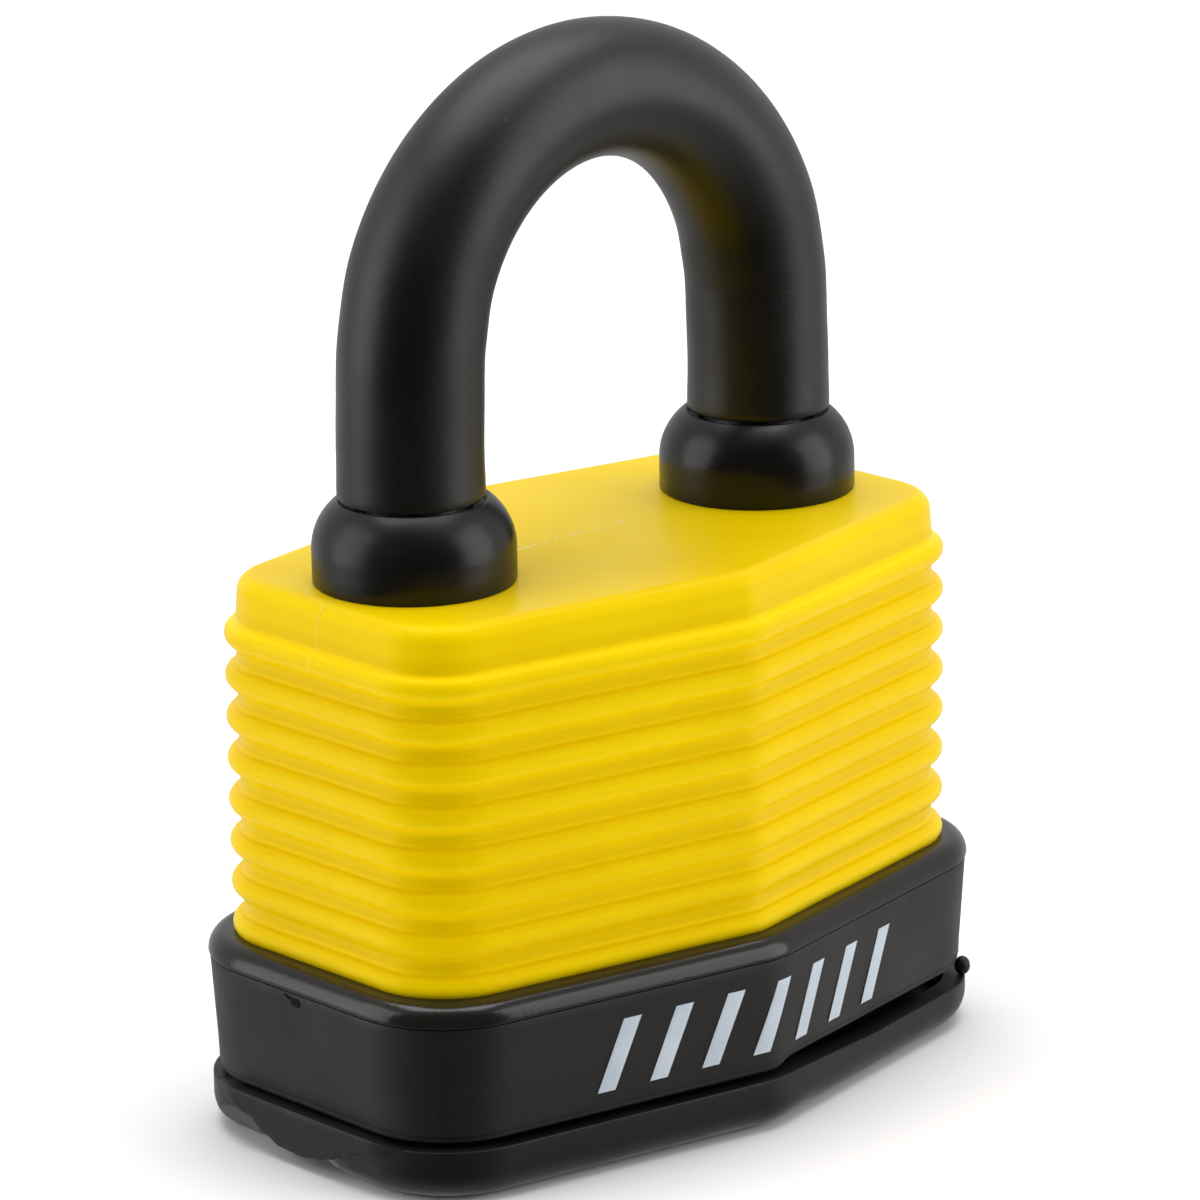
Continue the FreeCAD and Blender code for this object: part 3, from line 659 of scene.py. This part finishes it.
def wall_point(along, z, proud):
    """A point on the band's front wall, by its X, its height and how far it stands proud."""
    out = BAND_FOOT + (BAND_WALL - BAND_FOOT) * (z - BAND_Z) / (BAND_STEP_Z - BAND_Z) + proud
    cx, cy, fy = corner_centres()
    reach = FOLD + out
    bend = reach * math.sin(TILT)
    if abs(along) < bend:
        t = math.asin(along / reach)
        return (along, -(fy + reach * math.cos(t)), z)
    slope = abs(along) - bend
    return (along, -(fy + reach * math.cos(TILT) - slope * math.tan(TILT)), z)


def build_pit_shade():
    """Three small dark patches below the band's shoulder line at the free end, where there are small torn pits;
    their dark colour is painted shade in the pits, and the patches stand slightly proud of the wall.
    """
    shape = Shape()
    wall = -(HALF + BAND_WALL + 0.02)
    pits = ((0.55, 13.55, 0.62, 0.30), (1.35, 13.86, 0.40, 0.16), (0.2, 13.75, 0.3, 0.18))
    for y, z, long, tall in pits:
        rings = []
        for share in (1.0, 0.7, 0.35):
            ring = []
            for k in range(18):
                t = math.tau * k / 18
                r = share * (1 + 0.45 * noise.noise(Vector((math.cos(t) + y, math.sin(t), z))))
                ring.append((wall - 0.05 * (1 - share), y + long * r * math.cos(t),
                             z + tall * r * math.sin(t) + 0.35 * long * r * math.cos(t)))
            rings.append(ring)
        made = shape.stack(rings)
        shape.lid(made[-1])
    return shape.piece("band_pit_shade", "body", [PIT_SHADE], angle=80)


def build_marks():
    """A row of plain slanted bars printed on the front of the band."""
    shape = Shape()
    low, high, lean, wide = 6.55, 12.35, 1.1, 1.6
    first, pitch, count = -14.6, 4.75, 7
    for k in range(count):
        middle = first + pitch * k
        rings = []
        for i in range(13):
            t = i / 12
            z = low + (high - low) * t
            mid = middle + lean * (t - 0.5) * 2
            row = [wall_point(mid + wide * (s - 0.5), z, 0.03 if 0 < s < 1 and 0 < t < 1 else 0.004)
                   for s in (0.0, 0.04, 0.3, 0.7, 0.96, 1.0)]
            rings.append(row)
        shape.stack(rings, closed=False)
    return shape.piece("band_marks", "body", [INK], angle=80)


# ---------------------------------------------------------------- cover

def rim_z(x, y):
    """The cover's rim slopes down along X; it has the same height all the way across."""
    start, finish = COVER_RAMP
    share = min(max((x - start) / (finish - start), 0.0), 1.0)
    return COVER_TOP + (COVER_LOW - COVER_TOP) * share


def cover_bowl(shape):
    """The cover's outside up to the rim, and its inside down to the floor."""
    around = plan(corner_steps=48)
    outer = [(-1.0, 0.0)]
    outer += arc(COVER_OUT - COVER_ROUND, COVER_ROUND, COVER_ROUND, -90, 0, 14)
    outer += [(COVER_OUT, 2.75), (COVER_OUT, BEVEL_Z), (COVER_OUT, BEVEL_Z + 0.04)]
    rings = [shrunk(level(around, -1.0, 0.0), s) for s in (0.12, 0.4, 0.7, 0.9)]
    rings += [bevelled(level(around, d, z)) for d, z in outer]
    ease, bend = 0.15, 0.4
    rim = arc(COVER_OUT - ease, -ease, ease, 0, 90, 5)
    rim += arc(COVER_IN + ease, -ease, ease, 90, 180, 4)
    rings += [level(around, d, above(rim_z, z)) for d, z in rim]
    rings.append(level(around, COVER_IN, COVER_FLOOR + bend))
    for d, z in arc(COVER_IN - bend, COVER_FLOOR + bend, bend, 0, -90, 5):
        rings.append(level(around, d, z))
    floor = level(around, -0.5, COVER_FLOOR)
    rings.append(floor)
    rings += [shrunk(floor, s) for s in (0.8, 0.5, 0.15)]
    made = shape.stack(rings)
    shape.lid(made[0], flip=True)
    shape.lid(made[-1])


def cover_gasket(shape):
    """A round rib on the cover's floor that closes round the keyway."""
    foot, top = COVER_FLOOR - 0.2, 4.6
    gasket = [(GASKET_IN, foot), (GASKET_IN, top - 0.15), (GASKET_IN + 0.12, top - 0.03),
              (GASKET_IN + 0.3, top), (GASKET_OUT - 0.3, top), (GASKET_OUT - 0.12, top - 0.03),
              (GASKET_OUT, top - 0.15), (GASKET_OUT, foot)]
    shape.stack(flipped(lathe(gasket)))


def cover_hinge(shape):
    """The cover's knuckle and the web that joins it to the end wall."""
    shape.stack(knuckle(0.66, -KNUCKLE_HALF, KNUCKLE_HALF))
    x0, x1 = HINGE_X - 0.95, HALF + COVER_OUT - 0.03
    web = [(x0, 2.0), (x1, 2.0), (x1, 4.2), (x0, 4.2)]
    made = shape.stack([[(x, y, z) for x, z in web] for y in (-KNUCKLE_HALF, KNUCKLE_HALF)])
    shape.lid(made[0], flip=True)
    shape.lid(made[1])


def build_cover():
    shape = Shape()
    cover_bowl(shape)
    cover_gasket(shape)
    cover_hinge(shape)
    build_lip(shape)
    return shape.piece("cover_shell", "cover", [COVER], ["keyway_cover"], angle=40)


def bevelled(ring):
    """The cover's free end leans in below the lip, less so towards the front."""
    wall = -(HALF + COVER_OUT)
    line = []
    for x, y, z in ring:
        lean = BEVEL_IN * between(y, [(-4.5, 0.2), (0.0, 1.0)])
        line.append((max(x, wall + lean * max(BEVEL_Z - z, 0.0) / BEVEL_Z), y, z))
    return line


def build_lip(shape):
    """Lip round the cover's free end, with a thumb lobe hanging from its middle."""
    cx, cy, _ = corner_centres()
    low = [(-LIP_HALF, 4.50), (-10.6, 4.05), (-9.4, 3.52), (-7.2, 3.25), (-4.9, 2.45),
           (-3.6, 1.72), (-2.0, 1.28), (0.1, 1.0), (2.4, 1.12), (4.4, 1.75), (6.2, 2.75),
           (8.6, 3.25), (10.4, 4.0), (LIP_HALF, 4.50)]
    steps = 160
    rings = []
    for k in range(steps + 1):
        u = -LIP_HALF + 2 * LIP_HALF * k / steps
        side = -1 if u < 0 else 1
        turn = max(abs(u) - cy, 0.0) / (CORNER + 3.0)
        foot = between(u, low)
        fade = soft(min((LIP_HALF - abs(u)) / 4.0, 1.0))
        face = COVER_OUT - 0.03 + (LIP_OUT - COVER_OUT + 0.03) * fade
        top = COVER_TOP - 0.02 + (LIP_TOP - COVER_TOP + 0.02) * fade
        foot = min(foot, top - 0.3)
        deep = min(1.0, 0.3 + (top - foot) / 3.5)
        row = [(0.9, top - 0.02), (COVER_OUT - 0.6, top), (face - 0.14, top),
               (face - 0.04, top - 0.03), (face, top - 0.12)]
        tall = top - 0.12 - foot - 0.16
        row += [(face, top - 0.12 - tall * m / 6) for m in range(1, 7)]
        row += [(face - 0.05, foot + 0.05), (face - 0.18, foot), (face - 0.18 - 0.5 * deep, foot + 0.03),
                (0.7, foot + 0.1)]
        line = []
        for out, z in row:
            reach = CORNER + out
            if turn:
                line.append((-(cx + reach * math.cos(turn)), side * (cy + reach * math.sin(turn)), z))
            else:
                line.append((-(HALF + out), u, z))
        rings.append(line)
    shape.stack(flipped(rings), closed=False)


# ---------------------------------------------------------------- seals and sleeve

def build_seal(name, node, x, nick):
    """A domed rubber seal round one leg; nick, if given, is the middle of a small dent."""
    shape = Shape()
    profile = [(5.65, -1.0), (5.65, -0.02), (7.80, 0.0), (7.90, 0.05), (7.93, 0.16), (7.93, 1.4)]
    profile += bow((7.93, 2.6), (6.05, 6.44), 4.95, 20)
    profile += [(5.98, 6.50), (5.88, 6.52), (5.70, 6.51), (5.55, 6.40), (5.50, 6.10), (4.75, 6.0),
                (4.75, 4.5)]
    rings = lathe(profile, 120, x, 0.0, TOP_Z)
    uneven = []
    for ring in rings:
        line = []
        for px, py, pz in ring:
            r = math.hypot(px - x, py)
            push = 0.03 * noise.noise(Vector((px * 0.3, py * 0.3, pz * 0.5)))
            if nick and r > 6.3:
                far = (Vector((px, py, pz)) - Vector(nick)).length
                push -= 0.14 * max(0.0, 1 - far / 1.1) ** 2
            share = (r + push) / r if r > 6.2 else 1.0
            line.append((x + (px - x) * share, py * share, pz))
        uneven.append(line)
    shape.stack(uneven)
    return shape.piece(name, "body", [RUBBER], [node])


def build_seal_flash():
    """A small tongue of squeezed-out rubber at the foot of the right seal."""
    shape = Shape()
    rings = []
    for k in range(9):
        a = math.radians(-22 + 26 * k / 8)
        swell = math.sin(math.pi * k / 8) ** 0.6 if 0 < k < 8 else 0.03
        r0, r1 = 7.85, 7.93 + 0.42 * swell
        c, s = math.cos(a), math.sin(a)
        rings.append([(LEG_X + r0 * c, r0 * s, TOP_Z), (LEG_X + r1 * c, r1 * s, TOP_Z),
                      (LEG_X + r1 * c, r1 * s, TOP_Z + 0.35 * swell),
                      (LEG_X + r0 * c, r0 * s, TOP_Z + 0.9 * swell)])
    shape.stack(rings, closed=False)
    return shape.piece("seal_right_flash", "body", [RUBBER], angle=70)


def shackle_path():
    """Points and outward directions along the shackle's centre line, with the thickness.
    The sleeve is drawn a little thinner over the crown and its legs splay at the foot."""
    def leg(z, side):
        splay = between(z, [(55.0, 0.2), (61.5, 0.02)])
        return (side * (LEG_X + splay), z, side, 0.0, SLEEVE_R + between(z, [(52.0, 0.06), (55.0, 0.0)]))

    heights = [SLEEVE_Z + (CROWN_Z - SLEEVE_Z) * k / 16 for k in range(16)]
    line = [leg(z, -1.0) for z in heights]
    for k in range(97):
        a = math.pi - math.pi * k / 96
        up = math.sin(a) ** 2
        bend = math.degrees(math.asin(min(math.sin(a), 1.0)))
        # the arch draws in a little just above the place where it leaves the legs
        reach = LEG_X + 0.18 * up - 0.14 * math.exp(-((bend - 11) / 7) ** 2)
        line.append((reach * math.cos(a), CROWN_Z + reach * math.sin(a), math.cos(a), math.sin(a),
                     SLEEVE_R - 0.28 * up))
    return line + [leg(z, 1.0) for z in reversed(heights)]


def build_sleeve():
    """The sleeve as one skin: down one bore, round its foot, along the outside and up the other bore."""
    shape = Shape()
    path = shackle_path()
    steps = 72

    def hoop(point, r=None, lift=0.0):
        x, z, ox, oz, thick = point
        r = r or thick
        out = []
        for k in range(steps):
            t = math.tau * k / steps
            across, side = math.cos(t), math.sin(t)
            p = Vector((x + r * across * ox, r * side, z + r * across * oz + lift))
            if r > 5.2:  # only the outside is uneven
                push = 0.03 * noise.noise(p * 0.13)
                p += Vector((across * ox, side, across * oz)) * push
            out.append(tuple(p))
        return out

    def foot(point):
        return [hoop(point, 4.55, 6.0), hoop(point, 4.55, 0.1), hoop(point, 4.65, 0.0),
                hoop(point, 5.55, 0.0), hoop(point, 5.68, 0.04), hoop(point, 5.75, 0.16)]

    rings = foot(path[0]) + [hoop(p) for p in path[1:-1]] + list(reversed(foot(path[-1])))
    shape.stack(flipped(rings))
    return shape.piece("sleeve_skin", "shackle", [VINYL], ["shackle_sleeve"])


build_jacket()
build_flash()
build_band()
# dark patches of painted shade where the band has small pits
build_pit_shade()
build_marks()
build_cover()
build_seal("seal_left_skin", "seal_left", -LEG_X, None)
build_seal("seal_right_skin", "seal_right", LEG_X, (LEG_X + 6.6, -3.6, TOP_Z + 4.6))
build_seal_flash()
build_sleeve()


# ---------------------------------------------------------------- floor, light, camera

def build_floor():
    mesh = bpy.data.meshes.new("floor")
    s = 3.0
    mesh.from_pydata([(-s, -s, 0), (s, -s, 0), (s, s, 0), (-s, s, 0)], [], [(0, 1, 2, 3)])
    floor = bpy.data.objects.new("floor", mesh)
    bpy.context.scene.collection.objects.link(floor)
    p = Paint("floor_white", 0.9, specular=0.1)
    p.base(p.mix(p.noise(3.0, 2.0), colour(0.90, 0.90, 0.90), colour(0.93, 0.93, 0.93)))
    mesh.materials.append(p.material)
    floor.visible_glossy = False


def area(name, place, aim, size, power, tint=(1, 1, 1)):
    data = bpy.data.lights.new(name, "AREA")
    data.shape = "RECTANGLE"
    data.size, data.size_y = size
    data.energy = power
    data.color = tint
    lamp = bpy.data.objects.new(name, data)
    lamp.location = place
    lamp.rotation_mode = "QUATERNION"
    lamp.rotation_quaternion = (Vector(aim) - Vector(place)).to_track_quat("-Z", "Y")
    bpy.context.scene.collection.objects.link(lamp)


def build_world(front):
    """White surroundings that fall off to dark on the side the camera stands on."""
    world = bpy.data.worlds.new("studio")
    world.use_nodes = True
    tree = world.node_tree
    sky = tree.nodes["Background"]
    sky.inputs["Color"].default_value = (1, 1, 1, 1)
    where = tree.nodes.new("ShaderNodeTexCoord")
    facing = tree.nodes.new("ShaderNodeVectorMath")
    facing.operation = "DOT_PRODUCT"
    facing.inputs[1].default_value = front
    tree.links.new(where.outputs["Generated"], facing.inputs[0])
    fall = tree.nodes.new("ShaderNodeMapRange")
    fall.interpolation_type = "SMOOTHSTEP"
    for key, number in (("From Min", 0.72), ("From Max", 0.15), ("To Min", 0.02), ("To Max", 0.68)):
        fall.inputs[key].default_value = number
    tree.links.new(facing.outputs["Value"], fall.inputs["Value"])
    seen = tree.nodes.new("ShaderNodeLightPath")
    pick = tree.nodes.new("ShaderNodeMix")
    pick.data_type = "FLOAT"
    tree.links.new(seen.outputs["Is Camera Ray"], pick.inputs["Factor"])
    tree.links.new(fall.outputs["Result"], pick.inputs[2])
    pick.inputs[3].default_value = 1.0
    tree.links.new(pick.outputs[0], sky.inputs["Strength"])
    bpy.context.scene.world = world


def build_camera():
    """The photo's camera, in metres and degrees, with its focal length for a 36 mm sensor."""
    azimuth, elevation, roll = map(math.radians, (-43.808, 16.392, -0.771))
    distance, focal, sensor = 0.464775, 175.2684, 36.0
    target = Vector((0.000933, 0.0, 0.039056))
    back = Vector((math.sin(azimuth) * math.cos(elevation),
                   -math.cos(azimuth) * math.cos(elevation), math.sin(elevation)))
    right = (-back).cross(Vector((0, 0, 1))).normalized()
    up = right.cross(-back)
    turned_right = right * math.cos(roll) + up * math.sin(roll)
    turned_up = up * math.cos(roll) - right * math.sin(roll)
    data = bpy.data.cameras.new("camera")
    data.sensor_width = sensor
    data.lens = focal
    data.clip_start, data.clip_end = 0.01, 20.0
    camera = bpy.data.objects.new("camera", data)
    turn = Matrix((turned_right, turned_up, back)).transposed()
    camera.matrix_world = Matrix.Translation(target + back * distance) @ turn.to_4x4()
    bpy.context.scene.collection.objects.link(camera)
    bpy.context.scene.camera = camera
    return right, back


def beside(degrees, distance, height):
    """A place round the object; 0 degrees is the camera's side, positive to its right."""
    t = math.radians(degrees)
    return centre + (flat * math.cos(t) + right * math.sin(t)) * distance + up * height


right, back = build_camera()
centre = Vector((0, 0, 0.04))
flat = Vector((back.x, back.y, 0)).normalized()
up = Vector((0, 0, 1))
build_floor()
build_world(flat)
area("box_left", beside(-78, 0.80, 0.22), centre, (0.60, 0.90), 3.2)
area("box_right", beside(78, 0.80, 0.22), centre, (0.60, 0.90), 3.8)
area("box_top", beside(180, 0.12, 0.95), centre, (0.90, 0.70), 7.8, (0.985, 0.975, 1.03))
bpy.context.scene.view_settings.view_transform = "Standard"
